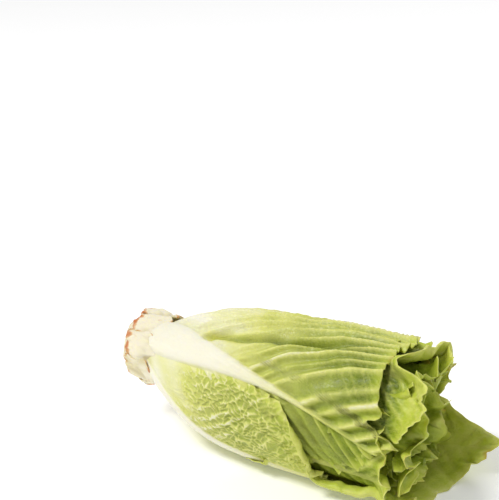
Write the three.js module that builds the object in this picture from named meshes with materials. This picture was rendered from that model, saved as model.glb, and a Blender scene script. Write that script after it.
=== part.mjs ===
// A romaine lettuce heart as cut and trimmed for sale, lying on its side.
//
// The heart is a short stem with leaves wrapped round it in layers. Each leaf is its own thin
// solid with a thick midrib, and the leaves are numbered from the outside in. The cut end of
// the stem carries the stubs of the outer leaves that were trimmed away.
//
// Frame, in millimetres: +X runs from the cut stem to the leaf tips, +Z is up, and the heart
// rests on its lowest leaf at Z = 0. Angles about the axis are in degrees: 0 faces -Y (the
// front), 90 faces up, 180 the back and -90 the surface that it lies on.

import * as THREE from "three";

// ---- Driving dimensions ----

const HEART_RADIUS = 53.5; // outer radius round the middle of the heart
const NECK_RADIUS = 19.5; // outer radius where the outermost leaves leave the stem
const NECK = 20; // distance of that place from the cut end
const SHOULDER = 55; // how gently the heart swells from the neck to its full radius
const FLARE = 3; // extra radius at the leaf tips
const FLARE_START = 190;
const FLARE_LENGTH = 70;

const PRESSED_FLAT = 5.6; // how far the heart's own weight flattens its underside
const AXIS_HEIGHT = HEART_RADIUS - PRESSED_FLAT;

const LEAF_COUNT = 18;
const LAYER_PITCH = 2.5; // from one leaf's outer face to the next leaf's outer face
const BLADE = 1.2; // leaf thickness away from the midrib
const GAP = 0.4; // clearance between pieces that touch
const OUTSIDE_FLOOR_LAYER = 1; // the layer of the leaf that lies on the surface
const CHORD_DEPTH = 0.75; // how far a flat face may cut inside the round layer it stands for

const STEM_RADIUS = 17;
const STEM_LENGTH = 100;
const STEM_TIP_RADIUS = 2.2;
const CUT_EDGE = 1.5; // rounding of the cut end

const STUB_COUNT = 7;
const STUB_THICKNESS = 3.2;
const STUB_THIN = 0.55; // share of that thickness left at a stub's torn end and at its sides
const STUB_FIRST_ANGLE = 20;
const STUB_HALF_SPAN = 22; // how far a stub reaches round the stem either way, in degrees
const STUB_NARROWING = 0.86; // width at the torn end, as a share of the width at the cut
const STUB_START = 2;
const STUB_END_VARIES = 1.6;
const STUB_LIFT = 0.5; // clearance from the stem at the cut end
const STUB_SPREAD = 2.2; // how much further out the torn end stands

const BUD_RADIUS = 7.4;
const BUD_START = STEM_LENGTH + GAP;
const BUD_END = 214;

const RIB_BASE_HALF_WIDTH = 13; // half width of an outer midrib at the stem
const RIB_TIP_HALF_WIDTH = 2;
const RIB_TAPER = 70; // length over which a midrib narrows
const RIB_BULGE = 4.5; // how far an uncovered midrib stands out of its leaf
const RIB_BULGE_LENGTH = 98; // length over which that bulge fades
const RIB_INWARD_SHRINK = 0.6; // how much of its width a midrib loses from the outside to the core
const RIB_WIDEST_ANGLE = 48;

const BLADE_FOOT = 0.12; // share of its full reach that a blade has at the stem
const BLADE_FULL_AT = 0.48; // share of the leaf's length at which it has its full reach
const BLADE_TIP = 0.82; // share of its full reach that it has at the tip
const BLADE_NARROWS_AT = 0.6;
const TWIST_RATE = 1.05; // a leaf's twist is over just before its tip

const PALE_RIB = 0xf2f0dc;
const PALE_LEAF = 0xc9d68a;
const GREEN_LEAF = 0x8fae2a;
const STEM_COLOUR = 0xe6dcc0;

// ---- Small helpers ----

const radians = (degrees) => (degrees * Math.PI) / 180;
const mix = (a, b, t) => a + (b - a) * t;
const clamp01 = (t) => Math.min(1, Math.max(0, t));
const smooth = (t) => clamp01(t) ** 2 * (3 - 2 * clamp01(t));

// Outer radius of the whole heart at a distance along its axis.
function heartRadius(along) {
  const swell = Math.tanh((along - NECK) / SHOULDER);
  const flare = FLARE * smooth((along - FLARE_START) / FLARE_LENGTH);
  return mix(NECK_RADIUS, HEART_RADIUS, swell) + flare;
}

// Radius of the stem, which tapers to a point inside the heart.
function stemRadius(along) {
  const collar = NECK_RADIUS - BLADE - GAP;
  const taper = clamp01((along - NECK) / (STEM_LENGTH - NECK));
  return along < NECK ? STEM_RADIUS : mix(collar, STEM_TIP_RADIUS, taper ** 0.85);
}

// Where a layer's leaf is attached: the place where its inner face meets the stem.
function attachment(layer) {
  let low = NECK;
  let high = STEM_LENGTH;
  for (let step = 0; step < 40; step += 1) {
    const middle = (low + high) / 2;
    const room = heartRadius(middle) - layer * LAYER_PITCH - BLADE - GAP - stemRadius(middle);
    if (room < 0) low = middle;
    else high = middle;
  }
  return high;
}

// A point at an angle and radius about the heart's axis, kept above a floor height.
function aboutAxis(along, degrees, radius, floor = 0) {
  const y = -radius * Math.cos(radians(degrees));
  const z = AXIS_HEIGHT + radius * Math.sin(radians(degrees));
  return [along, y, Math.max(z, floor)];
}

// The height that a layer's faces can't go below, so that the layers stay apart where the
// heart is pressed flat. The flattening fades out towards the core.
function layerFloor(layer) {
  const pressed = PRESSED_FLAT * (1 - layer / LEAF_COUNT);
  return AXIS_HEIGHT - HEART_RADIUS + layer * LAYER_PITCH + pressed;
}

// A closed shell from two grids of points with the same rows and columns.
function shellGeometry(outer, inner) {
  const rows = outer.length;
  const columns = outer[0].length;
  const positions = [...outer.flat(), ...inner.flat()].flat();
  const at = (side, row, column) => side * rows * columns + row * columns + column;
  const index = [];
  const quad = (a, b, c, d) => index.push(a, b, c, a, c, d);
  for (let row = 0; row + 1 < rows; row += 1) {
    for (let column = 0; column + 1 < columns; column += 1) {
      quad(at(0, row, column), at(0, row + 1, column), at(0, row + 1, column + 1), at(0, row, column + 1));
      quad(at(1, row, column), at(1, row, column + 1), at(1, row + 1, column + 1), at(1, row + 1, column));
    }
  }
  for (let row = 0; row + 1 < rows; row += 1) {
    const last = columns - 1;
    quad(at(0, row, 0), at(1, row, 0), at(1, row + 1, 0), at(0, row + 1, 0));
    quad(at(0, row, last), at(0, row + 1, last), at(1, row + 1, last), at(1, row, last));
  }
  for (let column = 0; column + 1 < columns; column += 1) {
    const last = rows - 1;
    quad(at(0, 0, column), at(0, 0, column + 1), at(1, 0, column + 1), at(1, 0, column));
    quad(at(0, last, column), at(1, last, column), at(1, last, column + 1), at(0, last, column + 1));
  }
  const geometry = new THREE.BufferGeometry();
  geometry.setAttribute("position", new THREE.Float32BufferAttribute(positions, 3));
  geometry.setIndex(index);
  geometry.computeVertexNormals();
  return geometry;
}

function namedMesh(name, geometry, colour, roughness) {
  const material = new THREE.MeshStandardMaterial({ color: colour, roughness, metalness: 0 });
  const mesh = new THREE.Mesh(geometry, material);
  mesh.name = name;
  return mesh;
}

// ---- The leaves ----

// The outer leaves, from the outside in. angle is the midrib's at the stem and twist how far
// it has turned at the tip; up and down are how far the blade reaches either way past the
// midrib, in degrees; end is the tip's distance along the axis, and dropUp and dropDown how
// much shorter each side is at its margin. proud is 1 where nothing lies over the midrib.
const OUTER_LEAVES = [
  {
    name: "leaf_01_front_low", angle: -44, twist: -10, up: 66, down: 3,
    end: 168, dropUp: 62, dropDown: 6, proud: 1,
  },
  {
    name: "leaf_02_underside", angle: -122, twist: 8, up: 52, down: 54,
    end: 258, dropUp: 34, dropDown: 40, proud: 0.6,
  },
  {
    name: "leaf_03_front_top", angle: 54, twist: -50, up: 94, down: 38,
    end: 205, dropUp: 12, dropDown: 24, proud: 1,
  },
  {
    name: "leaf_04_back", angle: 166, twist: -10, up: 50, down: 56,
    end: 222, dropUp: 24, dropDown: 20, proud: 1,
  },
  {
    name: "leaf_05_top", angle: 100, twist: -40, up: 68, down: 66,
    end: 228, dropUp: 20, dropDown: 16, proud: 0,
  },
  {
    name: "leaf_06_lower_front", angle: -18, twist: -16, up: 74, down: 62,
    end: 214, dropUp: 16, dropDown: 26, proud: 0,
  },
];

// The covered leaves inside them follow the plant's spiral.
const GOLDEN_ANGLE = 137.5;
const INNER_FIRST_ANGLE = 120;
const INNER_TWIST = -20;
const INNER_HALF_WIDTH = 52; // width of a covered leaf either side of its midrib
const INNER_WIDEST_REACH = 132; // in degrees, so that the two margins stay apart
const INNER_DROP = 26;
const INNER_ENDS = [232, 226, 238, 222, 230, 216, 226, 212, 222, 208, 218, 206];

function innerLeaf(layer) {
  const rank = layer - OUTER_LEAVES.length;
  const radius = HEART_RADIUS - layer * LAYER_PITCH;
  const reach = Math.min(INNER_WIDEST_REACH, THREE.MathUtils.radToDeg(INNER_HALF_WIDTH / radius));
  return {
    name: `leaf_${String(layer + 1).padStart(2, "0")}_inner`,
    angle: INNER_FIRST_ANGLE + rank * GOLDEN_ANGLE,
    twist: INNER_TWIST,
    up: reach,
    down: reach,
    end: INNER_ENDS[rank],
    dropUp: INNER_DROP,
    dropDown: INNER_DROP,
    proud: 0,
  };
}

// Half width of a midrib, as an angle about the axis. Inner leaves have narrower ribs.
function ribAngle(along, start, layer) {
  const size = 1 - RIB_INWARD_SHRINK * (layer / LEAF_COUNT);
  const taper = Math.exp(-(((along - start) / RIB_TAPER) ** 2));
  const halfWidth = size * mix(RIB_TIP_HALF_WIDTH, RIB_BASE_HALF_WIDTH, taper);
  const radius = heartRadius(along) - layer * LAYER_PITCH;
  return Math.min(RIB_WIDEST_ANGLE, THREE.MathUtils.radToDeg(halfWidth / radius));
}

// How much of its full reach the blade has at a share of the leaf's length.
function bladeShape(share) {
  const widening = mix(BLADE_FOOT, 1, smooth(share / BLADE_FULL_AT));
  const narrowing = mix(1, BLADE_TIP, smooth((share - BLADE_NARROWS_AT) / (1 - BLADE_NARROWS_AT)));
  return widening * narrowing;
}

// The columns of a leaf's grid, from its lower margin over the midrib to its upper one. Each is
// narrow enough that its flat faces stay clear of the layer below.
const RIB_COLUMNS = [-1, -0.5, 0, 0.5, 1];

function leafColumns(leaf, layer) {
  const radius = HEART_RADIUS - layer * LAYER_PITCH;
  const widest = THREE.MathUtils.radToDeg(2 * Math.acos(1 - CHORD_DEPTH / radius));
  const side = (reach) => {
    const count = Math.ceil(reach / widest);
    return Array.from({ length: count }, (_, i) => (i + 1) / count);
  };
  return [
    ...side(leaf.down).map((reach) => ({ rib: -1, blade: -reach })).reverse(),
    ...RIB_COLUMNS.map((rib) => ({ rib, blade: 0 })),
    ...side(leaf.up).map((reach) => ({ rib: 1, blade: reach })),
  ];
}

// The angles that a leaf covers at a place along the axis.
function leafAngles(leaf, layer, start, along) {
  const share = clamp01((along - start) / (leaf.end - start));
  return {
    middle: leaf.angle + leaf.twist * smooth(share * TWIST_RATE),
    rib: ribAngle(along, start, layer),
    shape: bladeShape(share),
  };
}

function leafGeometry(leaf, layer, columns, rows) {
  const start = attachment(layer);
  const floor = layerFloor(layer - OUTSIDE_FLOOR_LAYER);
  const outer = [];
  const inner = [];
  for (let row = 0; row <= rows; row += 1) {
    const outerRow = [];
    const innerRow = [];
    for (const column of columns) {
      const drop = column.blade > 0 ? leaf.dropUp : leaf.dropDown;
      const end = leaf.end - drop * column.blade ** 2;
      const along = mix(start, end, row / rows);
      const { middle, rib, shape } = leafAngles(leaf, layer, start, along);
      const reach = column.blade > 0 ? leaf.up : leaf.down;
      const angle = middle + rib * column.rib + reach * shape * column.blade;
      const radius = heartRadius(along) - layer * LAYER_PITCH;
      const fade = Math.exp(-(((along - start) / RIB_BULGE_LENGTH) ** 2));
      const bulge = leaf.proud * RIB_BULGE * fade * (1 - column.rib ** 2);
      outerRow.push(aboutAxis(along, angle, radius + bulge, floor));
      innerRow.push(aboutAxis(along, angle, radius - BLADE, floor + BLADE));
    }
    outer.push(outerRow);
    inner.push(innerRow);
  }
  return shellGeometry(outer, inner);
}

function makeLeaf(layer) {
  const leaf = OUTER_LEAVES[layer] ?? innerLeaf(layer);
  const isOuter = layer < OUTER_LEAVES.length;
  const columns = leafColumns(leaf, layer);
  const rows = isOuter ? 13 : 9;
  const colour = new THREE.Color(PALE_LEAF).lerp(new THREE.Color(GREEN_LEAF), isOuter ? 0.7 : 0.4);
  return namedMesh(leaf.name, leafGeometry(leaf, layer, columns, rows), colour, 0.5);
}

// ---- The stem, the trimmed stubs and the bud ----

function turned(profile, segments) {
  const points = profile.map(([radius, along]) => new THREE.Vector2(radius, along));
  const geometry = new THREE.LatheGeometry(points, segments);
  geometry.rotateZ(-Math.PI / 2); // the lathe's own axis, +Y, becomes +X
  geometry.translate(0, 0, AXIS_HEIGHT);
  return geometry;
}

function makeStem() {
  const steps = 6;
  const cone = Array.from({ length: steps + 1 }, (_, i) => {
    const along = mix(NECK, STEM_LENGTH, i / steps);
    return [stemRadius(along) - GAP, along];
  });
  const profile = [
    [0, 0],
    [STEM_RADIUS - CUT_EDGE, 0],
    [STEM_RADIUS, CUT_EDGE],
    [STEM_RADIUS, NECK - CUT_EDGE],
    ...cone,
    [0, STEM_LENGTH],
  ];
  return namedMesh("cut_stem", turned(profile, 24), STEM_COLOUR, 0.7);
}

// A stub is the torn foot of a leaf that was trimmed away, lying against the stem.
function makeStub(number) {
  const middle = STUB_FIRST_ANGLE + (number * 360) / STUB_COUNT;
  const end = NECK - STUB_START + STUB_END_VARIES * Math.sin(number * 2.1);
  const columns = 5;
  const rows = 3;
  const outer = [];
  const inner = [];
  for (let row = 0; row <= rows; row += 1) {
    const share = row / rows;
    const outerRow = [];
    const innerRow = [];
    for (let column = 0; column < columns; column += 1) {
      const across = mix(-1, 1, column / (columns - 1));
      const angle = middle + STUB_HALF_SPAN * across * mix(1, STUB_NARROWING, share);
      const along = mix(STUB_START, end, share);
      const lift = STUB_LIFT + STUB_SPREAD * share;
      const thickness = STUB_THICKNESS * mix(1, STUB_THIN, share) * mix(1, STUB_THIN, across ** 2);
      innerRow.push(aboutAxis(along, angle, STEM_RADIUS + lift));
      outerRow.push(aboutAxis(along, angle, STEM_RADIUS + lift + thickness));
    }
    outer.push(outerRow);
    inner.push(innerRow);
  }
  return namedMesh(`trimmed_stub_${number + 1}`, shellGeometry(outer, inner), PALE_RIB, 0.6);
}

function makeBud() {
  const length = BUD_END - BUD_START;
  const steps = 7;
  const profile = Array.from({ length: steps + 1 }, (_, i) => {
    const share = i / steps;
    const radius = BUD_RADIUS * Math.sin(Math.PI * mix(0.1, 0.93, share) ** 0.8) ** 0.6;
    return [radius, BUD_START + length * share];
  });
  const closed = [[0, BUD_START], ...profile, [0, BUD_END]];
  return namedMesh("heart_bud", turned(closed, 12), PALE_LEAF, 0.5);
}

// ---- The whole heart ----

const heart = new THREE.Group();
heart.add(makeStem());
for (let number = 0; number < STUB_COUNT; number += 1) heart.add(makeStub(number));
for (let layer = 0; layer < LEAF_COUNT; layer += 1) heart.add(makeLeaf(layer));
heart.add(makeBud());

// The origin is under the middle of the heart's bounding box, on the surface it rests on.
const bounds = new THREE.Box3().setFromObject(heart);
const centre = bounds.getCenter(new THREE.Vector3());
heart.position.set(-centre.x, -centre.y, -bounds.min.z);

export default heart;
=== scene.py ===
# The looks of a romaine heart: crinkled leaves, trimmed stubs and the cut stem, built round the
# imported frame. Lengths in the leaf shapes are in millimetres and angles in degrees; everything
# that reaches Blender is in metres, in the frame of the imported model.
#
# A place on a leaf is given by its distance along the heart from the cut end, and its angle
# about the heart's axis: 0 faces the front (-Y), 90 faces up, 180 the back and -90 the floor.

import math

import bpy
import numpy as np
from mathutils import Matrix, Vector


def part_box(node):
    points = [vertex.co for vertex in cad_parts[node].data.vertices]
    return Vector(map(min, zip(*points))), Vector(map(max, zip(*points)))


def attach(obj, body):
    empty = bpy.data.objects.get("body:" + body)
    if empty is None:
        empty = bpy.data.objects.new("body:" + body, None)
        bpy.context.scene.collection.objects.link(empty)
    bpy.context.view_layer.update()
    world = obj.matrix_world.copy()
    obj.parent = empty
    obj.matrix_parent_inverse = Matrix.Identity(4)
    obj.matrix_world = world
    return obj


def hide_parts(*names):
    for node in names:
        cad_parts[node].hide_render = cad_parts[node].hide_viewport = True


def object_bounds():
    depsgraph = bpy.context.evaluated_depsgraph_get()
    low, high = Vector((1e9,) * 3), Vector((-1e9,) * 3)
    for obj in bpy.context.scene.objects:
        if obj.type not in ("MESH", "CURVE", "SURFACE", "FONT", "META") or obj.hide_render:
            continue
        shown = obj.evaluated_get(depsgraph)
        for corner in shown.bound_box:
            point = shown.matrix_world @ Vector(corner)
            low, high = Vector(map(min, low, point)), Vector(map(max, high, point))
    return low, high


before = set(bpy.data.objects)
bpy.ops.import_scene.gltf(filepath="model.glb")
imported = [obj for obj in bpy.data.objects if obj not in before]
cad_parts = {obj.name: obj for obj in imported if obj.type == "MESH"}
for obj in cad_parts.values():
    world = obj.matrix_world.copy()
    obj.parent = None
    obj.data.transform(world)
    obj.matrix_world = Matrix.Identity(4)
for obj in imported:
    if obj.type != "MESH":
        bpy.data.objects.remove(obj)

bl_info = {
    "name": "Romaine heart",
    "version": (1, 0, 0),
    "blender": (4, 5, 0),
    "location": "3D View > Sidebar > Romaine",
    "description": "Builds the leaves, stem and stubs of a romaine heart round its packed frame",
    "category": "Add Mesh",
}

CAD_LOW, CAD_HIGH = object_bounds()
STEM_LOW, STEM_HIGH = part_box("cut_stem")
MM = 0.001

# ---- The heart's body ----

AXIS_Y = (STEM_LOW.y + STEM_HIGH.y) / 2 / MM
AXIS_Z = (STEM_LOW.z + STEM_HIGH.z) / 2 / MM
CUT_END = STEM_LOW.x / MM
PRESSED_FLAT = 5.6
BODY_RADIUS = AXIS_Z + PRESSED_FLAT
NECK_RADIUS = 19.5
NECK = 20.0
SHOULDER = 55.0
FLARE = 3.0
LAYER = 2.5
LEAF_COUNT = 18
STEM_RADIUS = 17.0


def smooth(t):
    t = np.clip(t, 0.0, 1.0)
    return t * t * (3.0 - 2.0 * t)


def mix(a, b, t):
    return a + (b - a) * t


def body_radius(along):
    """Radius of the whole heart at a distance from its cut end."""
    swell = np.tanh((along - NECK) / SHOULDER)
    return mix(NECK_RADIUS, BODY_RADIUS, swell) + FLARE * smooth((along - 190.0) / 70.0)


def layer_floor(layer):
    """Height that a layer can't sink below, because the heart is pressed flat underneath."""
    pressed = PRESSED_FLAT * (1.0 - layer / LEAF_COUNT)
    return AXIS_Z - BODY_RADIUS + layer * LAYER + pressed


def knots(points, x):
    """A smooth curve through a few (place, value) knots, level beyond the last ones."""
    places, values = np.array(points, float).T
    x = np.clip(x, places[0], places[-1])
    slopes = np.gradient(values, places) if len(places) > 2 else np.diff(values).repeat(2) / np.diff(places)
    i = np.clip(np.searchsorted(places, x, side="right") - 1, 0, len(places) - 2)
    width = places[i + 1] - places[i]
    t = (x - places[i]) / width
    a = values[i] * (1 + 2 * t) * (1 - t) ** 2 + slopes[i] * width * t * (1 - t) ** 2
    b = values[i + 1] * t * t * (3 - 2 * t) - slopes[i + 1] * width * t * t * (1 - t)
    return a + b


# ---- Repeatable noise ----

def lattice(ix, iy, seed):
    """A repeatable number from 0 to 1 for every whole-number grid point."""
    n = (ix.astype(np.int64) * 374761393 + iy.astype(np.int64) * 668265263 + seed * 97463477) & 0xFFFFFFFF
    n = ((n ^ (n >> 13)) * 1274126177) & 0xFFFFFFFF
    n = ((n ^ (n >> 15)) * 2246822519) & 0xFFFFFFFF
    return ((n ^ (n >> 16)) & 0xFFFFFF) / float(0xFFFFFF)


def noise(x, y, seed):
    """Smooth noise from -1 to 1, with features about one unit wide."""
    x, y = np.broadcast_arrays(np.asarray(x, float), np.asarray(y, float))
    ix, iy = np.floor(x), np.floor(y)
    fx, fy = smooth(x - ix), smooth(y - iy)
    low = mix(lattice(ix, iy, seed), lattice(ix + 1, iy, seed), fx)
    high = mix(lattice(ix, iy + 1, seed), lattice(ix + 1, iy + 1, seed), fx)
    return 2.0 * mix(low, high, fy) - 1.0


def rough_noise(x, y, seed):
    """Noise with finer and finer detail."""
    total = noise(x, y, seed) + 0.5 * noise(2.1 * x, 2.1 * y, seed + 7) + 0.25 * noise(4.3 * x,
        4.3 * y, seed + 13)
    return total / 1.75


def cell_pattern(x, y, seed):
    """Distances to the nearest scattered point and to the border between two of them."""
    ix, iy = np.floor(x), np.floor(y)
    first = np.full(x.shape, 9.0)
    second = np.full(x.shape, 9.0)
    for dx in (-1, 0, 1):
        for dy in (-1, 0, 1):
            cx, cy = ix + dx, iy + dy
            px = cx + 0.1 + 0.8 * lattice(cx, cy, seed)
            py = cy + 0.1 + 0.8 * lattice(cx, cy, seed + 51)
            distance = np.hypot(px - x, py - y)
            second = np.minimum(second, np.maximum(first, distance))
            first = np.minimum(first, distance)
    return first, second - first


# ---- The shapes of the leaves ----

# midrib: its angle at distances along the heart. up and down: how far the blade reaches round
# the heart on either side of the midrib. ends: where the leaf ends, across it from its lower
# margin (-1) over the midrib (0) to its upper one (1). raised: how far it stands off its layer
# at angles round the heart. rib: half width at the stem and near the tip, taper and bulge.
# veins: spacing of the side veins, how fast they lean over and curve along the leaf, and height.
# savoy and pucker: how blistered the blade is between its finest veins, and how high.
# lower_veins: how strong the veins are below the midrib, next to those above it.
# creases: height of the soft folds along the leaf. ruffle: height, wavelength and reach of the
# waves along the margin. jagged: how torn the margin is. rolls: margins that roll outwards.
# grooves: long folds that sink into the blade, with painted shade along them. cup: how far the leaf stands
# out along its length.
# covered: up to where other leaves press it flat. pale, vein_pale and depth: how white the blade
# and its veins are, and how deep its green is, along the leaf; depth also carries painted shade on some
# leaves.
LEAF_DEFAULTS = {
    "start": 24.0, "rows": 150, "columns": 110, "crowding": 1.0, "thickness": 1.0,
    "rib": (11.0, 1.6, 70.0, 2.2), "veins": (10.0, 0.9, 0.010, 0.9), "savoy": 0.5, "pucker": 1.1,
    "ruffle": (2.5, 17.0, 26.0), "jagged": 1.6, "rolls": (), "raised": ((-180, 0), (180, 0)),
        "grooves": (),
    "pale": ((20, 1.0), (70, 0.55), (130, 0.12), (200, 0.0)),
    "vein_pale": ((20, 1.0), (100, 0.8), (160, 0.5), (240, 0.3)),
    "depth": ((20, 0.1), (80, 0.35), (150, 0.6), (240, 0.7)), "cup": ((0, 0), (260, 0)),
    "creases": 0.7, "lower_veins": 0.8, "covered": -50.0,
}

FRONT_LOW = {
    "node": "leaf_01_front_low", "layer": 0, "rows": 220, "columns": 170, "thickness": 1.1,
        "start": 21.0,
    "midrib": ((20, -18), (52, -32), (79, -43), (110, -46), (170, -50)),
    "up": ((20, 40), (42, 56), (86, 74), (125, 72), (143, 68), (170, 62)),
    "down": ((20, 46), (60, 36), (110, 28), (170, 24)),
    "ends": ((-1, 156), (-0.5, 166), (0, 169), (0.31, 167), (0.66, 162), (0.78, 157), (0.86, 147),
        (1, 140)),
    "rib": (10.0, 3.0, 110.0, 2.4), "veins": (11.0, 0.75, 0.006, 0.4), "savoy": 1.0, "pucker": 1.5,
        "creases": 0.8,
    "ruffle": (2.2, 17.0, 10.0), "jagged": 0.7,
    "raised": ((-180, -0.5), (-100, -0.5), (-10, -0.5), (8, -0.5), (26, -3.0), (60, -4), (180, -4)),
    "pale": ((20, 1.0), (50, 0.85), (90, 0.3), (140, 0.18), (170, 0.0)),
    "vein_pale": ((20, 1.0), (120, 0.9), (170, 0.45)),
    "depth": ((20, 0.25), (60, 0.55), (140, 0.6), (156, 0.35), (170, 0.12)),
    "rolls": (("tip", 0.15, 0.9, 7.0, 3.0, 2.0),),
}

UNDERSIDE = {
    "node": "leaf_02_underside", "layer": 1, "rows": 200, "columns": 140, "thickness": 1.0,
        "crowding": 0.8,
    "start": 21.0, "midrib": ((20, -122), (120, -122), (200, -130), (258, -142)),
    "up": ((20, 40), (60, 50), (120, 80), (160, 102), (190, 100), (215, 98), (258, 60)),
    "down": ((20, 40), (60, 50), (120, 52), (200, 44), (258, 30)),
    "ends": ((-1, 202), (-0.8, 220), (-0.5, 240), (-0.2, 259), (0, 258), (0.3, 242), (0.6, 234),
        (0.85, 226), (1, 216)),
    "veins": (15.0, 0.8, 0.008, 0.6), "savoy": 0.3, "pucker": 0.9, "ruffle": (3.0, 30.0, 26.0),
        "jagged": 0.7,
    "cup": ((0, 0), (205, 0), (235, -3), (262, -14)),
    "pale": ((20, 1.0), (70, 0.6), (130, 0.25), (200, 0.0)),
    "vein_pale": ((20, 1.0), (120, 0.7), (240, 0.25)),
    "depth": ((20, 0.15), (120, 0.5), (190, 0.3), (225, 0.36), (260, 0.32)),
    "rolls": (("up", 150, 236, 15.0, 5.0, 2.3),),
}

FRONT_TOP = {
    "node": "leaf_03_front_top", "layer": 2, "rows": 240, "columns": 190, "thickness": 1.2,
        "start": 19.0,
    "midrib": ((20, 52), (46, 48), (70, 43), (92, 38), (120, 31), (141, 25), (159, 18), (178, 10),
        (195, 2), (220, -8)),
    "up": ((20, 80), (50, 90), (90, 98), (120, 112), (150, 124), (200, 132)),
    "down": ((20, 44), (60, 60), (120, 60), (160, 50), (200, 40)),
    "ends": ((-1, 178), (-0.62, 193), (-0.2, 202), (0, 206), (0.05, 214), (0.11, 217), (0.14, 205),
        (0.165, 199),
             (0.2, 204), (0.32, 203), (0.44, 201), (0.6, 202), (0.8, 207), (1, 200)),
    "rib": (15.0, 1.2, 80.0, 4.6), "veins": (13.0, 1.15, 0.006, 3.3), "savoy": 0.18, "pucker": 0.8,
    "creases": 1.3, "lower_veins": 0.5,
    "ruffle": (1.4, 18.0, 14.0), "jagged": 0.8,
    "raised": ((-180, -1.5), (-30, -1.5), (2, -1.5), (18, -0.5), (32, 2.5), (50, 3.4), (78, 1.8),
        (180, 1.4)),
    "grooves": ((62, 57, 188, 76, 7.0, 3.2),),
    "pale": ((20, 1.0), (66, 1.0), (100, 0.72), (140, 0.32), (185, 0.05)),
    "vein_pale": ((20, 1.0), (120, 1.0), (200, 0.95)),
    "depth": ((20, 0.1), (70, 0.55), (120, 0.75), (200, 0.8)),
}

BACK = {
    "node": "leaf_04_back", "layer": 3, "rows": 130, "columns": 100,
    "midrib": ((20, 170), (120, 162), (222, 156)),
    "up": ((20, 40), (70, 54), (222, 58)), "down": ((20, 40), (70, 60), (222, 62)),
    "ends": ((-1, 196), (-0.5, 216), (0, 222), (0.5, 214), (1, 196)),
    "rib": (13.0, 2.4, 78.0, 3.2), "veins": (10.0, 1.0, 0.008, 1.4), "creases": 0.5,
        "cup": ((0, 4), (40, 4), (90, 0), (260, 0)),
    "ruffle": (4.0, 20.0, 26.0),
}

TOP = {
    "node": "leaf_05_top", "layer": 4, "covered": 188.0, "rows": 160, "columns": 120, "crowding": 0.6,
    "midrib": ((20, 100), (220, 60)),
    "up": ((20, 34), (70, 66), (220, 78)), "down": ((20, 34), (70, 62), (220, 62)),
    "ends": ((-1, 208), (-0.76, 222), (-0.69, 230), (-0.47, 241), (-0.24, 241), (-0.05, 234),
        (0.03, 218), (0.2, 228),
             (0.5, 232), (0.75, 224), (1, 208)),
    "ruffle": (3.0, 15.0, 18.0), "jagged": 2.2,
        # The deepest green near 208 mm is painted shadow under the overhanging front top leaf; the lighter
        # fold past it is the leaf's own green.
        "depth": ((20, 0.1), (120, 0.7), (208, 0.95), (220, 0.4), (240, 0.3)),
    "vein_pale": ((20, 1.0), (120, 0.6), (220, 0.5)), "veins": (11.0, 0.9, 0.01, 0.8),
    "rolls": (("tip", -0.95, 0.7, 24.0, 12.0, 1.1),),
}

LOWER_FRONT = {
    "node": "leaf_06_lower_front", "layer": 5, "covered": 170.0, "rows": 140, "columns": 110,
        "crowding": 0.7,
    "midrib": ((20, -18), (214, -34)),
    "up": ((20, 34), (70, 70), (214, 74)), "down": ((20, 34), (70, 58), (214, 60)),
    "ends": ((-1, 196), (-0.5, 216), (0, 222), (0.5, 216), (1, 204)),
    "ruffle": (5.0, 21.0, 34.0), "jagged": 2.0,
        "depth": ((20, 0.1), (120, 0.6), (200, 0.7), (220, 0.35)),
    "raised": ((-180, 4.0), (-40, 7.0), (10, 1.0), (180, 0.0)),
    "rolls": (("tip", -0.95, 0.95, 16.0, 9.0, 1.1),),
}

INNER_ENDS = (232, 226, 238, 222, 230, 216, 226, 212, 222, 208, 218, 206)


def inner_leaf(rank):
    """A covered leaf: the plant's spiral gives its place, and its margin is ruffled in the mouth."""
    layer = 6 + rank
    angle = (120.0 + 137.5 * rank + 180.0) % 360.0 - 180.0
    radius = BODY_RADIUS - layer * LAYER
    reach = min(132.0, math.degrees(52.0 / radius))
    end = INNER_ENDS[rank]
    return {
        "node": f"leaf_{layer + 1:02d}_inner", "layer": layer, "crowding": 0.5, "covered": 180.0,
        "rows": 100 if rank < 6 else 70, "columns": 72 if rank < 6 else 56,
        "start": 26.0 + 3.6 * rank, "thickness": 0.8,
        "midrib": ((20, angle), (end, angle - 20)),
        "up": ((20, 0.3 * reach), (120, reach), (end, reach)),
        "down": ((20, 0.3 * reach), (120, reach), (end, reach)),
        "ends": ((-1, end - 26), (-0.5, end - 8), (0, end), (0.5, end - 8), (1, end - 26)),
        "rib": (8.0 - 0.35 * rank, 1.2, 70.0, 1.2), "veins": (9.0, 0.9, 0.01, 0.6), "pucker": 0.8,
        "ruffle": (6.5, 17.0 + 2.0 * (rank % 3), 40.0), "jagged": 3.0, "creases": 1.4,
        "pale": ((20, 1.0), (60, 0.6), (110, 0.15), (150, 0.0)),
        "vein_pale": ((20, 1.0), (120, 0.5), (220, 0.22)),
        "depth": ((20, 0.0), (110, 0.4), (200, 0.8 - 0.03 * rank), (235, 0.62)),
        "rolls": (("tip", -0.8, 0.8, 8.0 + 3.0 * (rank % 3), 5.0, 1.1),),
    }


# ---- From a leaf's shape to its surface ----

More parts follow.
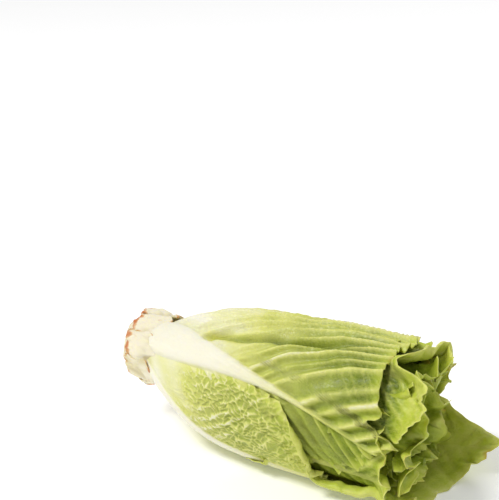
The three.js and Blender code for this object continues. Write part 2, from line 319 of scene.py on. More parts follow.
def blade_grid(leaf, seed):
    """Where each point of a leaf's grid lies: along the heart, and round it from the midrib."""
    u = np.linspace(-1.0, 1.0, leaf["columns"])
    v = np.linspace(0.0, 1.0, leaf["rows"]) ** leaf["crowding"]
    across, share = np.meshgrid(u, v)
    torn = leaf["jagged"] * (rough_noise(7.0 * across, 0 * across, seed) + 0.5 * noise(31.0 * across,
        0 * across, seed + 3))
    end = knots(leaf["ends"], across) + torn
    along = leaf["start"] + (end - leaf["start"]) * share
    uneven = 1.0 + 0.02 * leaf["jagged"] * rough_noise(along / 11.0, 0 * along, seed + 5)
    reach = np.where(across > 0, knots(leaf["up"], along), knots(leaf["down"], along)) * mix(1.0,
        uneven, across**2)
    radius = body_radius(along) - leaf["layer"] * LAYER
    arc = np.radians(across * reach) * radius
    side = np.radians((1.0 - np.abs(across)) * reach) * radius
    return {"across": across, "share": share, "along": along, "arc": arc, "radius": radius,
        "side": side,
            "tip": end - along, "edge": np.minimum(side, end - along)}


def rib_field(leaf, grid):
    """1 on the midrib, fading at its borders, and its rounded profile."""
    base, tip, taper, bulge = leaf["rib"]
    start = leaf["start"]
    half = mix(tip, base, np.exp(-(((grid["along"] - start) / taper) ** 2)))
    t = np.abs(grid["arc"]) / half
    fade = np.exp(-(((grid["along"] - start) / (1.7 * taper)) ** 2))
    profile = bulge * np.clip(1.0 - t**2.6, 0.0, 1.0) * mix(0.25, 1.0, fade)
    return 1.0 - smooth((t - 0.75) / 0.5), profile


def vein_field(leaf, grid, seed):
    """Side veins that leave the midrib and bend along the leaf, and the finer ones between them."""
    spacing, lean, curve, _ = leaf["veins"]
    out = np.abs(grid["arc"])
    side = np.sign(grid["arc"])
    wander = 5.0 * noise(grid["along"] / 52.0, out / 45.0 + 9 * side, seed)
    wander = wander + 1.3 * noise(grid["along"] / 17.0, out / 24.0, seed + 5)
    phase = (grid["along"] - lean * out - curve * out**2 + wander) / spacing
    phase = phase + 0.42 * noise(phase / 1.7, 3.0 * side, seed + 1) + 0.5 * (side > 0)
    near = np.abs(phase - np.round(phase)) * 2.0
    strength = 0.5 + 0.5 * lattice(np.round(phase), 5 * side, seed + 2)
    fading = 0.75 + 0.35 * noise(out / 26.0, 3.7 * np.round(phase), seed + 6)
    main = np.exp(-((near / 0.5) ** 2)) * strength * fading
    cross = (grid["along"] + 1.1 * out + 4.0 * noise(grid["along"] / 13.0, out / 13.0,
        seed + 4)) / (0.6 * spacing)
    fine = np.exp(-(((np.abs(cross - np.round(cross)) * 2.0) / 0.3) ** 2))
    return np.clip(main, 0, 1), fine * (1.0 - np.clip(main, 0, 1)) * (0.5 + 0.5 * noise(cross,
        out / 9.0, seed + 8))


def crinkle_field(leaf, grid, seed):
    """Blisters between the finest veins: 0 on the net of veins and 1 on top of a blister."""
    x = grid["along"] / 5.2 + 0.85 * noise(grid["along"] / 7.0, grid["arc"] / 6.0, seed)
    y = grid["arc"] / 3.6 + 0.85 * noise(grid["along"] / 7.0 + 40, grid["arc"] / 6.0, seed + 1)
    shear = 0.5 * np.sign(grid["arc"]) * y
    _, border = cell_pattern(x - shear, y, seed)
    _, small = cell_pattern(2.1 * x - shear, 2.1 * y, seed + 9)
    return smooth(border / 0.42), smooth(small / 0.4)


def roll(distance, start, bend, most):
    """A margin that rolls outwards: how far along and how far out a point this far in comes to lie."""
    past = np.clip(start - distance, 0.0, None)
    turned = np.minimum(past / bend, most)
    straight = np.clip(past - bend * most, 0.0, None)
    shift = bend * np.sin(turned) + straight * np.cos(turned) - past
    lift = bend * (1 - np.cos(turned)) + straight * np.sin(turned)
    return shift, lift


def rolled_margins(leaf, grid, seed):
    """How the leaf's rolled margins move each point: along the heart, round it and outwards."""
    along, arc, out = (np.zeros_like(grid["along"]) for _ in range(3))
    for number, (where, low, high, start, bend, most) in enumerate(leaf["rolls"]):
        place = grid["across"] if where == "tip" else grid["along"]
        span = high - low
        weight = smooth((place - low) / (0.2 * span)) * smooth((high - place) / (0.2 * span))
        varied = 1.0 + 0.35 * noise(place * 9.0 / span, 0 * place + number, seed + 21)
        distance = grid["tip"] if where == "tip" else grid["side"]
        on_side = {"tip": 1.0, "up": grid["across"] > 0, "down": grid["across"] < 0}[where]
        shift, lift = roll(distance, start * varied * weight, bend * varied, most)
        if where == "tip":
            along += shift
        else:
            arc += shift * on_side * np.sign(grid["arc"])
        out += lift * on_side
    return along, arc, out


def ruffled_margin(leaf, grid, seed):
    """Waves that grow towards the leaf's free margin."""
    height, length, reach = leaf["ruffle"]
    growth = np.clip(1.0 - grid["edge"] / reach, 0.0,
        1.0) ** 1.6 * smooth((grid["along"] - 70.0) / 60.0)
    travel = np.where(grid["side"] < grid["tip"], grid["along"], grid["arc"])
    angle = 2 * math.pi * (travel / length + 0.8 * noise(travel / 19.0, grid["along"] / 35.0,
        seed + 31))
    finer = np.sin(2.3 * angle + 2.0) * np.clip(1.0 - grid["edge"] / (0.4 * reach), 0.0, 1.0)
    return growth * height * (np.sin(angle) + 0.45 * finer), growth * 0.5 * height * np.cos(angle)


def leaf_surface(leaf, seed, sizes):
    """The outer face's points, and how pale, how deep green and how aged each one is, with painted shade in
    the grooves.
    """
    grid = blade_grid(leaf, seed)
    along, arc = grid["along"], grid["arc"]
    rib, rib_profile = rib_field(leaf, grid)
    main, fine = vein_field(leaf, grid, seed)
    blister, small = crinkle_field(leaf, grid, seed)
    savoy = leaf["savoy"]
    blade = 1.0 - rib
    young = smooth((along - leaf["start"] - 6.0) / 45.0)
    vein_height = leaf["veins"][3] * sizes.vein_height
    pucker = leaf["pucker"] * sizes.pucker_height * (0.6 + 0.4 * noise(along / 26.0, arc / 22.0,
        seed + 2))
    net = mix(main, 1.0 - blister, 0.55 * savoy)
    lift = rib_profile * (1.0 + 0.08 * noise(along / 5.0, arc / 3.0, seed))
    softer = np.where(arc < 0, leaf["lower_veins"], 1.0)
    lift = lift + blade * young * vein_height * softer * (2.0 * main - 0.5 + 0.12 * fine)
    lift = lift + blade * young * leaf["creases"] * rough_noise(along / 34.0, arc / 8.0, seed + 17)
    calm = smooth(grid["edge"] / 7.0)
    lift = lift - blade * young * calm * pucker * savoy * (blister + 0.3 * small - 0.8)
    lift = lift + blade * young * 1.1 * rough_noise(along / 17.0, arc / 13.0, seed + 3)
    # folded: how far each point lies in a groove; besides sinking the blade, it paints shade there further
    # down.
    folded = np.zeros_like(lift)
    for first, angle_a, last, angle_b, depth, width in leaf["grooves"]:
        line = mix(angle_a, angle_b, (along - first) / (last - first))
        middle = knots(leaf["midrib"], along)
        off = (middle + np.degrees(arc / grid["radius"]) - line) * np.radians(1.0) * grid["radius"]
        here = smooth((along - first) / 18.0) * smooth((last - along) / 24.0)
        dip = here * np.exp(-((off / width) ** 2)) * (0.85 + 0.15 * noise(along / 14.0, 0 * along,
            seed))
        lift = lift - depth * dip
        folded = np.maximum(folded, dip)
    lift = lift * mix(0.3, 1.0, smooth((grid["along"] - leaf["covered"]) / 25.0))
    wave, sway = ruffled_margin(leaf, grid, seed)
    roll_along, roll_arc, roll_out = rolled_margins(leaf, grid, seed)
    lift = lift + wave * sizes.ruffle_height + roll_out
    along = along + sway + roll_along
    angle = knots(leaf["midrib"], grid["along"]) + np.degrees((arc + roll_arc) / grid["radius"])
    radius = body_radius(grid["along"]) - leaf["layer"] * LAYER + knots(leaf["raised"],
        angle) + knots(leaf["cup"], grid["along"]) + lift
    cap = body_radius(grid["along"]) + 4.5
    radius = cap - 1.5 * np.logaddexp(0.0, (cap - radius) / 1.5)
    y = AXIS_Y - radius * np.cos(np.radians(angle))
    z = AXIS_Z + radius * np.sin(np.radians(angle))
    floor = max(layer_floor(leaf["layer"] - 1), 0.4)
    z = floor + np.where(z - floor > 6, z - floor,
        1.2 * np.log1p(np.exp(np.minimum(z - floor, 8) / 1.2)))
    points = np.stack([CUT_END + along, y, z], -1)
    pale = np.maximum(rib * knots(((0, 1.0), (100, 0.95), (140, 0.7), (175, 0.35), (260, 0.2)),
        grid["along"]),
                      knots(leaf["pale"], grid["along"]) * (0.8 + 0.2 * noise(along / 12.0,
                          arc / 12.0, seed + 8)))
    pale = np.maximum(pale, softer**1.5 * knots(leaf["vein_pale"],
        grid["along"]) * np.clip(net + 0.15 * fine, 0, 1) ** 1.2)
    pale = np.maximum(pale, 0.35 * (1.0 - smooth(grid["edge"] / 1.6)))
    depth = knots(leaf["depth"], grid["along"]) * (1.05 - 0.45 * net)
    depth = depth + 0.16 * rough_noise(along / 20.0, arc / 16.0, seed + 6)
    # Painted shade in the grooves: folded makes the blade deeper green and less cream there.
    depth = depth * mix(0.55, 1.0, smooth(grid["edge"] / 12.0)) + 0.25 * folded
    pale = pale * (1.0 - 0.85 * folded * smooth((grid["along"] - 60.0) / 30.0))
    spots = smooth((rough_noise(grid["along"] / 9.0, arc / 9.0, seed + 11) - 0.15) / 0.3)
    age = 0.75 * spots * (1.0 - smooth(grid["edge"] / 4.0)) * smooth((grid["along"] - 190.0) / 20.0)
    return grid, points, np.clip(pale, 0, 1), np.clip(depth, 0, 1), np.clip(age, 0, 1)


# ---- Meshes ----

def grid_normals(points):
    """Outward normals of a grid of points."""
    down_rows = np.gradient(points, axis=0)
    over_columns = np.gradient(points, axis=1)
    normals = np.cross(down_rows, over_columns)
    length = np.linalg.norm(normals, axis=-1, keepdims=True)
    return normals / np.maximum(length, 1e-9)


def grid_faces(rows, columns, offset, flipped):
    """Four-sided faces between the points of one grid."""
    at = offset + np.arange(rows * columns).reshape(rows, columns)
    corners = (at[:-1, :-1], at[1:, :-1], at[1:, 1:], at[:-1, 1:])
    faces = np.stack([c.ravel() for c in corners], -1)
    return faces[:, ::-1] if flipped else faces


def shell_faces(rows, columns):
    """Faces of a closed shell: the outer grid, the inner grid and the rim between them."""
    count = rows * columns
    at = np.arange(count).reshape(rows, columns)
    rim = np.concatenate([at[0, :-1], at[:-1, -1], at[-1, :0:-1], at[:0:-1, 0]])
    after = np.roll(rim, -1)
    edge = np.stack([rim, after, after + count, rim + count], -1)
    return np.concatenate([grid_faces(rows, columns, 0, False),
        grid_faces(rows, columns, count, True), edge])


def new_piece(name, points, faces, fields, material, node):
    """A mesh piece in metres with its colour fields, standing for a CAD node."""
    mesh = bpy.data.meshes.new(name)
    flat = (bent(np.asarray(points, float)).reshape(-1, 3) * MM).astype(np.float32)
    mesh.vertices.add(len(flat))
    mesh.vertices.foreach_set("co", flat.ravel())
    mesh.loops.add(faces.size)
    mesh.loops.foreach_set("vertex_index", faces.ravel().astype(np.int32))
    mesh.polygons.add(len(faces))
    mesh.polygons.foreach_set("loop_start", (np.arange(len(faces)) * faces.shape[1]).astype(np.int32))
    mesh.polygons.foreach_set("use_smooth", np.ones(len(faces), bool))
    mesh.update(calc_edges=True)
    for field, values in fields.items():
        attribute = mesh.attributes.new(field, "FLOAT", "POINT")
        attribute.data.foreach_set("value", np.asarray(values, np.float32).ravel())
    mesh.validate()
    mesh.materials.append(material)
    piece = bpy.data.objects.new(name, mesh)
    bpy.context.scene.collection.objects.link(piece)
    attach(piece, "root")
    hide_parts(node)
    return piece


def build_leaf(shape, seed, material, sizes):
    """One leaf as a thin closed shell."""
    leaf = {**LEAF_DEFAULTS, **shape}
    grid, points, pale, depth, age = leaf_surface(leaf, seed, sizes)
    rib, rib_profile = rib_field(leaf, grid)
    thin = 0.35 + 0.65 * smooth(grid["edge"] / 5.0)
    thickness = leaf["thickness"] * thin + 0.5 * rib_profile * rib
    inner = points - grid_normals(points) * thickness[..., None]
    inner[..., 2] = np.maximum(inner[..., 2], 0.15)
    fields = {
        "pale": np.stack([pale, 0.75 * pale]),
        "depth": np.stack([depth, np.clip(depth * 1.05, 0, 1)]),
        "age": np.stack([age, age]),
    }
    rows, columns = pale.shape
    faces = shell_faces(rows, columns)
    name = leaf["node"] + "_blade"
    return new_piece(name, np.stack([points, inner]), faces, fields, material, leaf["node"])


# ---- Materials ----

def tint(red, green, blue):
    """A colour given as 0 to 255 on a screen, in the renderer's own linear numbers."""
    def linear(c):
        c = c / 255.0
        return c / 12.92 if c <= 0.04045 else ((c + 0.055) / 1.055) ** 2.4
    return (linear(red), linear(green), linear(blue), 1.0)


class NodeMaker:
    """Adds shader nodes and joins them, one short call each."""

    def __init__(self, name):
        self.material = bpy.data.materials.new(name)
        self.material.use_nodes = True
        self.tree = self.material.node_tree
        self.tree.nodes.clear()
        self.output = self.add("ShaderNodeOutputMaterial")
        self.shader = self.add("ShaderNodeBsdfPrincipled")
        self.join(self.shader.outputs["BSDF"], self.output.inputs["Surface"])

    def add(self, kind, **settings):
        node = self.tree.nodes.new(kind)
        for key, value in settings.items():
            setattr(node, key, value)
        return node

    def join(self, source, target):
        self.tree.links.new(source, target)

    def field(self, name):
        return self.add("ShaderNodeAttribute", attribute_name=name).outputs["Fac"]

    def math(self, operation, a, b=0.5, clamp=False):
        node = self.add("ShaderNodeMath", operation=operation, use_clamp=clamp)
        for socket, value in zip(node.inputs, (a, b)):
            if isinstance(value, (int, float)):
                socket.default_value = value
            else:
                self.join(value, socket)
        return node.outputs[0]

    def blend(self, amount, a, b, kind="MIX"):
        node = self.add("ShaderNodeMix", data_type="RGBA", blend_type=kind)
        for socket, value in zip((node.inputs[0], node.inputs[6], node.inputs[7]), (amount, a, b)):
            if isinstance(value, (int, float, tuple)):
                socket.default_value = value
            else:
                self.join(value, socket)
        return node.outputs[2]

    def ramp(self, value, stops):
        node = self.add("ShaderNodeValToRGB")
        elements = node.color_ramp.elements
        while len(elements) < len(stops):
            elements.new(0.5)
        for element, (place, colour) in zip(elements, stops):
            element.position = place
            element.color = colour
        self.join(value, node.inputs["Fac"])
        return node.outputs["Color"]

    def noise(self, scale, detail=3.0):
        node = self.add("ShaderNodeTexNoise")
        node.inputs["Scale"].default_value = scale
        node.inputs["Detail"].default_value = detail
        self.join(self.place(), node.inputs["Vector"])
        return node.outputs["Fac"]

    def net(self, scale):
        node = self.add("ShaderNodeTexVoronoi", feature="DISTANCE_TO_EDGE")
        node.inputs["Scale"].default_value = scale
        self.join(self.place(), node.inputs["Vector"])
        return node.outputs["Distance"]

    def place(self):
        return self.add("ShaderNodeTexCoord").outputs["Object"]

    def bump(self, height, distance, strength=0.6):
        node = self.add("ShaderNodeBump")
        node.inputs["Distance"].default_value = distance
        node.inputs["Strength"].default_value = strength
        self.join(height, node.inputs["Height"])
        self.join(node.outputs["Normal"], self.shader.inputs["Normal"])


def leaf_material(name, colours):
    """Waxy leaf: cream ribs and veins, yellow-green to deep green blade, a faint net of veinlets."""
    maker = NodeMaker(name)
    mottle = maker.noise(140.0)
    grain = maker.noise(900.0, 2.0)
    depth = maker.math("ADD", maker.field("depth"),
        maker.math("MULTIPLY", maker.math("SUBTRACT", mottle, 0.5), 0.35), True)
    green = maker.ramp(depth, ((0.0, colours.young), (0.35, colours.light), (0.7, colours.green),
        (1.0, colours.deep)))
    veinlet = maker.math("SUBTRACT", 1.0, maker.math("MULTIPLY", maker.net(420.0), 9.0, True), True)
    faint = maker.math("MULTIPLY", veinlet, 0.14)
    green = maker.blend(faint, green, colours.light)
    pale = maker.math("ADD", maker.field("pale"),
        maker.math("MULTIPLY", maker.math("SUBTRACT", grain, 0.5), 0.12), True)
    half_pale = maker.math("MULTIPLY", pale, 1.8, True)
    most_pale = maker.math("MULTIPLY", maker.math("SUBTRACT", pale, 0.5), 2.0, True)
    colour = maker.blend(most_pale, maker.blend(half_pale, green, colours.young), colours.cream)
    colour = maker.blend(maker.field("age"), colour, colours.aged)
    maker.join(colour, maker.shader.inputs["Base Color"])
    rough = maker.math("ADD", 0.30, maker.math("MULTIPLY", mottle, 0.22))
    maker.join(rough, maker.shader.inputs["Roughness"])
    height = maker.math("ADD", maker.math("MULTIPLY", veinlet, 0.6), grain)
    maker.bump(height, 0.0004)
    set_wax(maker.shader)
    return maker.material


def set_wax(shader):
    """Light sinks a little way into the tissue, and the surface has a soft wax gloss."""
    shader.inputs["Subsurface Weight"].default_value = 0.22
    shader.inputs["Subsurface Radius"].default_value = (1.0, 0.85, 0.15)
    shader.inputs["Subsurface Scale"].default_value = 0.0022
    shader.inputs["Specular IOR Level"].default_value = 0.3
    shader.inputs["Coat Weight"].default_value = 0.08
    shader.inputs["Coat Roughness"].default_value = 0.25


def flesh_material(name, colours):
    """Cut and torn stem flesh: cream white, drying to tan and brown where it is aged, with olive painted
    shade mixed in by the depth field.
    """
    maker = NodeMaker(name)
    mottle = maker.noise(160.0, 5.0)
    grain = maker.noise(1100.0, 2.0)
    stain = maker.math("ADD", maker.field("age"),
        maker.math("MULTIPLY", maker.math("SUBTRACT", mottle, 0.5), 0.5), True)
    dry = maker.ramp(stain, ((0.0, colours.flesh), (0.4, colours.flesh), (0.62, colours.tan),
        (1.0, colours.brown)))
    # Painted shade: the olive hollow colour, mixed in by the depth field.
    colour = maker.blend(maker.math("MULTIPLY", maker.field("depth"), 0.6), dry, colours.hollow_shade)
    maker.join(colour, maker.shader.inputs["Base Color"])
    maker.join(maker.math("ADD", 0.42, maker.math("MULTIPLY", mottle, 0.3)),
        maker.shader.inputs["Roughness"])
    maker.bump(maker.math("ADD", grain, maker.math("MULTIPLY", mottle, 1.5)), 0.0006)
    set_wax(maker.shader)
    return maker.material


def plain_material(name, colour):
    """The pale floor, with the slightest unevenness in its tone."""
    maker = NodeMaker(name)
    shade = maker.blend(maker.math("MULTIPLY", maker.noise(3.0), 0.04), colour,
        (0.85, 0.85, 0.85, 1.0))
    maker.join(shade, maker.shader.inputs["Base Color"])
    maker.shader.inputs["Roughness"].default_value = 0.9
    maker.shader.inputs["Emission Color"].default_value = colour
    maker.shader.inputs["Emission Strength"].default_value = 0.14
    maker.shader.inputs["Specular IOR Level"].default_value = 0.1
    return maker.material


def shared_material(name, make, colours):
    return bpy.data.materials.get(name) or make(name, colours)


# ---- What a user may change ----

class RomaineSizes(bpy.types.PropertyGroup):
    vein_height: bpy.props.FloatProperty(
        name="Vein height", description="How strongly the veins stand out",
        default=1.0, min=0.0, max=2.0)
    pucker_height: bpy.props.FloatProperty(
        name="Pucker height", description="How strongly the blade puckers between veins",
        default=1.0, min=0.0, max=2.0)
    ruffle_height: bpy.props.FloatProperty(
        name="Ruffle height", description="How strongly the margins ruffle",
        default=1.0, min=0.0, max=2.0)
    stub_thickness: bpy.props.FloatProperty(
        name="Stub thickness", description="Thickness of a trimmed leaf foot", default=3.0 * MM,
        min=1.0 * MM, max=6.0 * MM, subtype="DISTANCE", unit="LENGTH")


def colour_property(name, description, red, green, blue):
    return bpy.props.FloatVectorProperty(
        name=name, description=description, default=tint(red, green,
            blue), size=4, min=0.0, max=1.0, subtype="COLOR")


class RomaineColours(bpy.types.PropertyGroup):
    cream: colour_property("Cream", "Ribs and thick veins", 243, 239, 218)
    young: colour_property("Young blade", "Blade near the stem", 222, 222, 128)
    light: colour_property("Light green", "Thin pale blade", 190, 203, 66)
    green: colour_property("Green", "Grown blade", 136, 156, 16)
    # Deep green is the blade's own darkest green at the tips; in the folds it also stands in for painted
    # shade.
    deep: colour_property("Deep green", "Blade in the folds and at the tips", 80, 100, 2)
    aged: colour_property("Aged margin", "Yellowed and browned leaf margins", 188, 156, 52)
    flesh: colour_property("Flesh", "Cut flesh as it dries", 238, 230, 202)
    # Painted shade: the olive that the sunk parts of the feet and the hidden flesh are painted with.
    hollow_shade: colour_property("Hollows", "Olive hollows of the torn feet", 196, 178, 104)
    tan: colour_property("Tan", "Dried edges", 218, 172, 126)
    brown: colour_property("Brown", "Oxidised cuts", 200, 122, 74)


def plain_colours(group):
    """The colours as plain tuples, which node sockets and ramps take."""
    class Plain:
        pass
    made = Plain()
    for key in ("cream", "young", "light", "green", "deep", "aged", "flesh", "hollow_shade", "tan",
        "brown"):
        setattr(made, key, tuple(getattr(group, key)))
    return made


# ---- Operators ----

OUTER_LEAVES = (FRONT_LOW, UNDERSIDE, FRONT_TOP, BACK, TOP, LOWER_FRONT)


class RomaineOuterLeaves(bpy.types.Operator):
    """Builds the six outer leaves."""
    bl_idname = "romaine.outer_leaves"
    bl_label = "Outer leaves"

    def execute(self, context):
        material = shared_material("waxy_outer_leaf", leaf_material,
            plain_colours(context.scene.romaine_colours))
        for number, shape in enumerate(OUTER_LEAVES):
            build_leaf(shape, 11 + 3 * number, material, context.scene.romaine_sizes)
        return {"FINISHED"}


class RomaineInnerLeaves(bpy.types.Operator):
    """Builds the covered leaves and their ruffled tips in the mouth."""
    bl_idname = "romaine.inner_leaves"
    bl_label = "Inner leaves"

    def execute(self, context):
        material = shared_material("waxy_inner_leaf", leaf_material,
            plain_colours(context.scene.romaine_colours))
        for rank in range(len(INNER_ENDS)):
            build_leaf(inner_leaf(rank), 101 + 5 * rank, material,
                context.scene.romaine_sizes)
        return {"FINISHED"}


class RomaineStem(bpy.types.Operator):
    """Builds the cut stem and the bud inside."""
    bl_idname = "romaine.stem"
    bl_label = "Stem and bud"

    def execute(self, context):
        colours = plain_colours(context.scene.romaine_colours)
        build_stem(shared_material("cut_flesh", flesh_material, colours))
        build_bud(shared_material("waxy_inner_leaf", leaf_material, colours))
        return {"FINISHED"}


class RomaineStubs(bpy.types.Operator):
    """Builds the torn feet of the leaves that were trimmed away."""
    bl_idname = "romaine.stubs"
    bl_label = "Trimmed stubs"

    def execute(self, context):
        material = shared_material("cut_flesh", flesh_material,
            plain_colours(context.scene.romaine_colours))
        for number in range(STUB_COUNT):
            build_stub(number, material, context.scene.romaine_sizes)
        return {"FINISHED"}


class RomaineStage(bpy.types.Operator):
    """Builds the floor, the lights and the camera."""
    bl_idname = "romaine.stage"
    bl_label = "Stage"

    def execute(self, context):
        build_floor()
        build_lights(context.scene)
        build_camera(context.scene)
        return {"FINISHED"}


# ---- Stem, bud and stubs ----

STUB_COUNT = 7


def bent(points):
    """The neck leans up a little from the straight axis."""
    neck = smooth((96.0 - (points[..., 0] - CUT_END)) / 96.0) ** 1.3
    return points + neck[..., None] * np.array((3.5, 0.0, 7.0))


def around(radius, degrees, along):
    """Points at an angle about the heart's axis, in millimetres in the row frame."""
    y = AXIS_Y - radius * np.cos(np.radians(degrees))
    z = AXIS_Z + radius * np.sin(np.radians(degrees))
    return np.stack(np.broadcast_arrays(CUT_END + along, y, z), -1)


def closed_turning(rings):
    """Faces of a tube of rings that closes on itself round about; its ends are only as closed as the first
    and last rings are small.
    """
    count, around_count = rings.shape[:2]
    at = np.arange(count * around_count).reshape(count, around_count)
    after = np.roll(at, -1, axis=1)
    faces = np.stack([at[:-1], after[:-1], after[1:], at[1:]], -1).reshape(-1, 4)
    return faces


def build_stem(material):
    """The stem: a lumpy cut end with leaf scars, tapering inside the heart."""
    angles = np.linspace(-180.0, 180.0, 97)[:-1]
    cut = [(0.02, 1.2), (0.3, 1.0), (0.6, 0.6), (0.85, 0.25), (0.97, 0.0)]
    rings = [(share * STEM_RADIUS, along) for share, along in cut]
    rings += [(STEM_RADIUS, along) for along in np.linspace(1.4, NECK - 1.4, 12)]
    length = 100.0
    rings += [(mix(STEM_RADIUS, 2.4, smooth((a - NECK) / (length - NECK)) ** 0.9),
        a) for a in np.linspace(NECK, length, 20)]
    rings += [(0.05, length + 0.2)]
    radius = np.array([r for r, _ in rings])[:, None]
    along = np.array([a for _, a in rings])[:, None]
    lumps = 0.07 * noise(angles[None] / 25.0, along / 9.0, 71) + 0.03 * noise(angles[None] / 8.0,
        along / 3.0, 72)
    scar = 0.8 * noise(angles[None] / 18.0, radius / 4.0, 73) * (along < 2)
    points = around(radius * (1.0 + lumps), angles[None], along + scar)
    age = np.clip(0.35 + 0.5 * noise(angles[None] / 14.0, radius / 5.0 + along / 6.0, 74), 0,
        1) * (along < NECK + 4)
    # depth here is painted shade: a little olive on the cut flesh, more inside the heart.
    fields = {"pale": np.ones(age.shape), "depth": 0.2 + 0.2 * (along > NECK) + 0 * age,
        "age": age + 0 * points[..., 0]}
    return new_piece("cut_stem_flesh", points, closed_turning(points), fields, material, "cut_stem")


def build_bud(material):
    """The tightly folded bud at the centre, with a few overlapping folds on it."""
    low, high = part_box("heart_bud")
    start = low.x / MM - CUT_END
    end = high.x / MM - CUT_END
    biggest = (high.z - low.z) / 2 / MM
    angles = np.linspace(-180.0, 180.0, 65)[:-1]
    share = np.linspace(0.0, 1.0, 60)[:, None]
    radius = biggest * np.sin(np.pi * mix(0.03, 0.985, share) ** 0.8) ** 0.6 * 0.96
    fold = 0.10 * np.sin(np.radians(3.0 * angles[None]) + 5.0 * share)
    fold = fold + 0.08 * noise(angles[None] / 20.0, 14.0 * share, 81)
    along = mix(start, end, share)
    points = around(radius * (1.0 + fold), angles[None], along + 0 * fold)
    pale = np.clip(0.8 - 0.6 * share + 0 * fold, 0, 1)
    fields = {"pale": pale, "depth": 0.3 + 0.2 * share + 0 * fold, "age": 0 * pale}
    return new_piece("heart_bud_folds", points, closed_turning(points), fields, material, "heart_bud")


def build_stub(number, material, sizes):
    """A torn leaf foot: thick where it was cut, ragged and thin at its torn end."""
    seed = 201 + 7 * number
    rows, columns = 34, 44
    across, share = np.meshgrid(np.linspace(-1, 1, columns), np.linspace(0, 1, rows))
    middle = 20.0 + number * 360.0 / STUB_COUNT
    half = 31.0 + 3.0 * math.sin(2.3 * number)
    end = 27.0 + 3.0 * math.sin(2.1 * number) + 3.0 * rough_noise(2.6 * across, 0 * across,
        seed) - 5.0 * across**2
    begin = 0.4 + 3.4 * rough_noise(2.2 * across, 0 * across + 4, seed) + 1.2 * across**2
    along = mix(begin, end, share) + 3.0
    angle = middle + half * across * (1.0 + 0.08 * noise(5.0 * share, 2.0 * across, seed + 1))
    spread = 2.2 * np.sin(math.pi * np.clip(share * 1.1, 0,
        1)) + 4.6 * share**2 + 1.6 * math.sin(4.4 * number) + 2.8 * noise(across * 1.8, share * 2.2,
        seed + 2) + 0.7 * noise(across * 6.0, share * 7.0, seed + 3)
    radius = STEM_RADIUS + 1.0 + 0.8 * (number % 2) + spread
    outer = around(radius + sizes.stub_thickness / MM * (0.9 - 0.35 * share), angle, along)
    thickness = sizes.stub_thickness / MM * mix(1.0, 0.3, share) * mix(1.0, 0.35, across**2)
    inner = outer - grid_normals(outer) * thickness[..., None]
    cut = np.clip(1.0 - share / 0.22, 0, 1)
    rim = np.clip(1.0 - (1.0 - np.abs(across)) / 0.14, 0, 1)
    torn = np.clip(1.0 - (1.0 - share) / 0.1, 0, 1)
    stain = np.clip(0.66 + 0.6 * rough_noise(across * 3.0, share * 3.0, seed + 4), 0, 1)
    dried = (1.1 * cut + 0.7 * rim + 0.6 * torn) * stain
    age = np.clip(0.12 + dried + 0.3 * smooth((stain - 0.6) / 0.3), 0, 1)
    inner_age = np.clip(0.8 * age + 0.15 * stain, 0, 1)
    fields = {"pale": np.ones((2, rows, columns)),
        # depth is painted shade: olive where the foot sinks in, and on its inner face more so towards the
        # torn end.
        "depth": np.stack([0.7 * smooth(-noise(across * 1.8, share * 2.2, seed + 2) * 2.0),
        0.2 + 0.2 * share]),
              "age": np.stack([age, inner_age])}
    node = f"trimmed_stub_{number + 1}"
    faces = shell_faces(rows, columns)
    return new_piece(node + "_foot", np.stack([outer, inner]), faces, fields, material, node)


# ---- Stage ----

AZIMUTH = 25.5
ELEVATION = 29.0
DISTANCE = 0.90
FOCAL_SHARE = 2.695
AIM_RIGHT = 0.0365
AIM_DOWN = 0.1035


def build_floor():
    size = 6.0
    bpy.ops.mesh.primitive_plane_add(size=size, location=(0, 0, 0))
    floor = bpy.context.object
    floor.name = "studio_floor"
    floor.data.materials.append(plain_material("floor_paper", (0.98, 0.98, 0.98, 1.0)))


def add_light(name, place, target, size, power):
    data = bpy.data.lights.new(name, "AREA")
    data.shape = "DISK"
    data.size = size
    data.energy = power
    light = bpy.data.objects.new(name, data)
    light.location = place
    light.rotation_mode = "QUATERNION"
    light.rotation_quaternion = (Vector(target) - Vector(place)).to_track_quat("-Z", "Y")
    bpy.context.scene.collection.objects.link(light)
    return light


def build_lights(scene):
    world = bpy.data.worlds.new("studio_white")
    world.use_nodes = True
    background = world.node_tree.nodes["Background"]
    background.inputs["Color"].default_value = (1.0, 1.0, 1.0, 1.0)
    background.inputs["Strength"].default_value = 0.40
    scene.world = world
    add_light("key_light", (-0.9, -1.3, 2.4), (0, 0, 0.04), 0.9, 52.0)
    add_light("back_light", (0.6, 1.8, 1.9), (0, 0, 0.04), 1.2, 15.0)
    scene.view_settings.view_transform = "Standard"


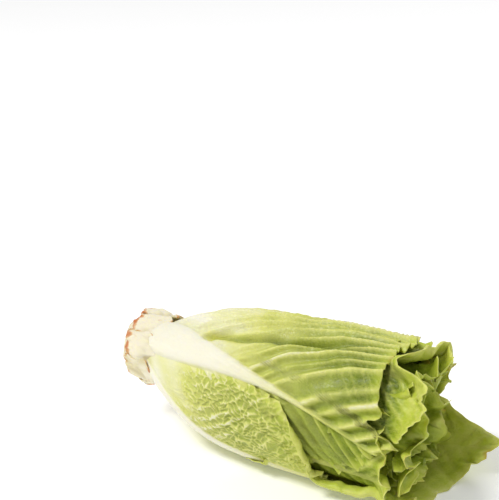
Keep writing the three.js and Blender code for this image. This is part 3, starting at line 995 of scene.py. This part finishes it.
def build_camera(scene):
    azimuth, elevation = math.radians(AZIMUTH), math.radians(ELEVATION)
    flat = math.cos(elevation)
    back = Vector((math.sin(azimuth) * flat, -math.cos(azimuth) * flat, math.sin(elevation)))
    right = Vector((math.cos(azimuth), math.sin(azimuth), 0.0))
    up = back.cross(right)
    target = Vector(((CAD_LOW.x + CAD_HIGH.x) / 2, 0.0, AXIS_Z * MM))
    aim = target - right * AIM_RIGHT * DISTANCE + up * AIM_DOWN * DISTANCE
    data = bpy.data.cameras.new("camera")
    data.sensor_width = 36.0
    data.lens = FOCAL_SHARE * data.sensor_width
    camera = bpy.data.objects.new("camera", data)
    camera.location = target + back * DISTANCE
    camera.rotation_mode = "QUATERNION"
    camera.rotation_quaternion = (aim - camera.location).to_track_quat("-Z", "Y")
    scene.collection.objects.link(camera)
    scene.camera = camera


class RomainePanel(bpy.types.Panel):
    """Lists what can be changed and built."""
    bl_idname = "ROMAINE_PT_panel"
    bl_label = "Romaine heart"
    bl_space_type = "VIEW_3D"
    bl_region_type = "UI"
    bl_category = "Romaine"

    def draw(self, context):
        layout = self.layout
        for group in (context.scene.romaine_sizes, context.scene.romaine_colours):
            for key in group.__annotations__:
                layout.prop(group, key)
        for operator in OPERATORS:
            layout.operator(operator.bl_idname)


OPERATORS = (RomaineStage, RomaineOuterLeaves, RomaineInnerLeaves, RomaineStem, RomaineStubs)
CLASSES = (RomaineSizes, RomaineColours, *OPERATORS, RomainePanel)


def register():
    for item in CLASSES:
        bpy.utils.register_class(item)
    bpy.types.Scene.romaine_sizes = bpy.props.PointerProperty(type=RomaineSizes)
    bpy.types.Scene.romaine_colours = bpy.props.PointerProperty(type=RomaineColours)


def unregister():
    del bpy.types.Scene.romaine_colours
    del bpy.types.Scene.romaine_sizes
    for item in reversed(CLASSES):
        bpy.utils.unregister_class(item)


def main():
    register()
    bpy.ops.romaine.stage()
    bpy.ops.romaine.outer_leaves()
    bpy.ops.romaine.inner_leaves()
    bpy.ops.romaine.stem()
    bpy.ops.romaine.stubs()
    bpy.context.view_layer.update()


if __name__ == "__main__":
    main()
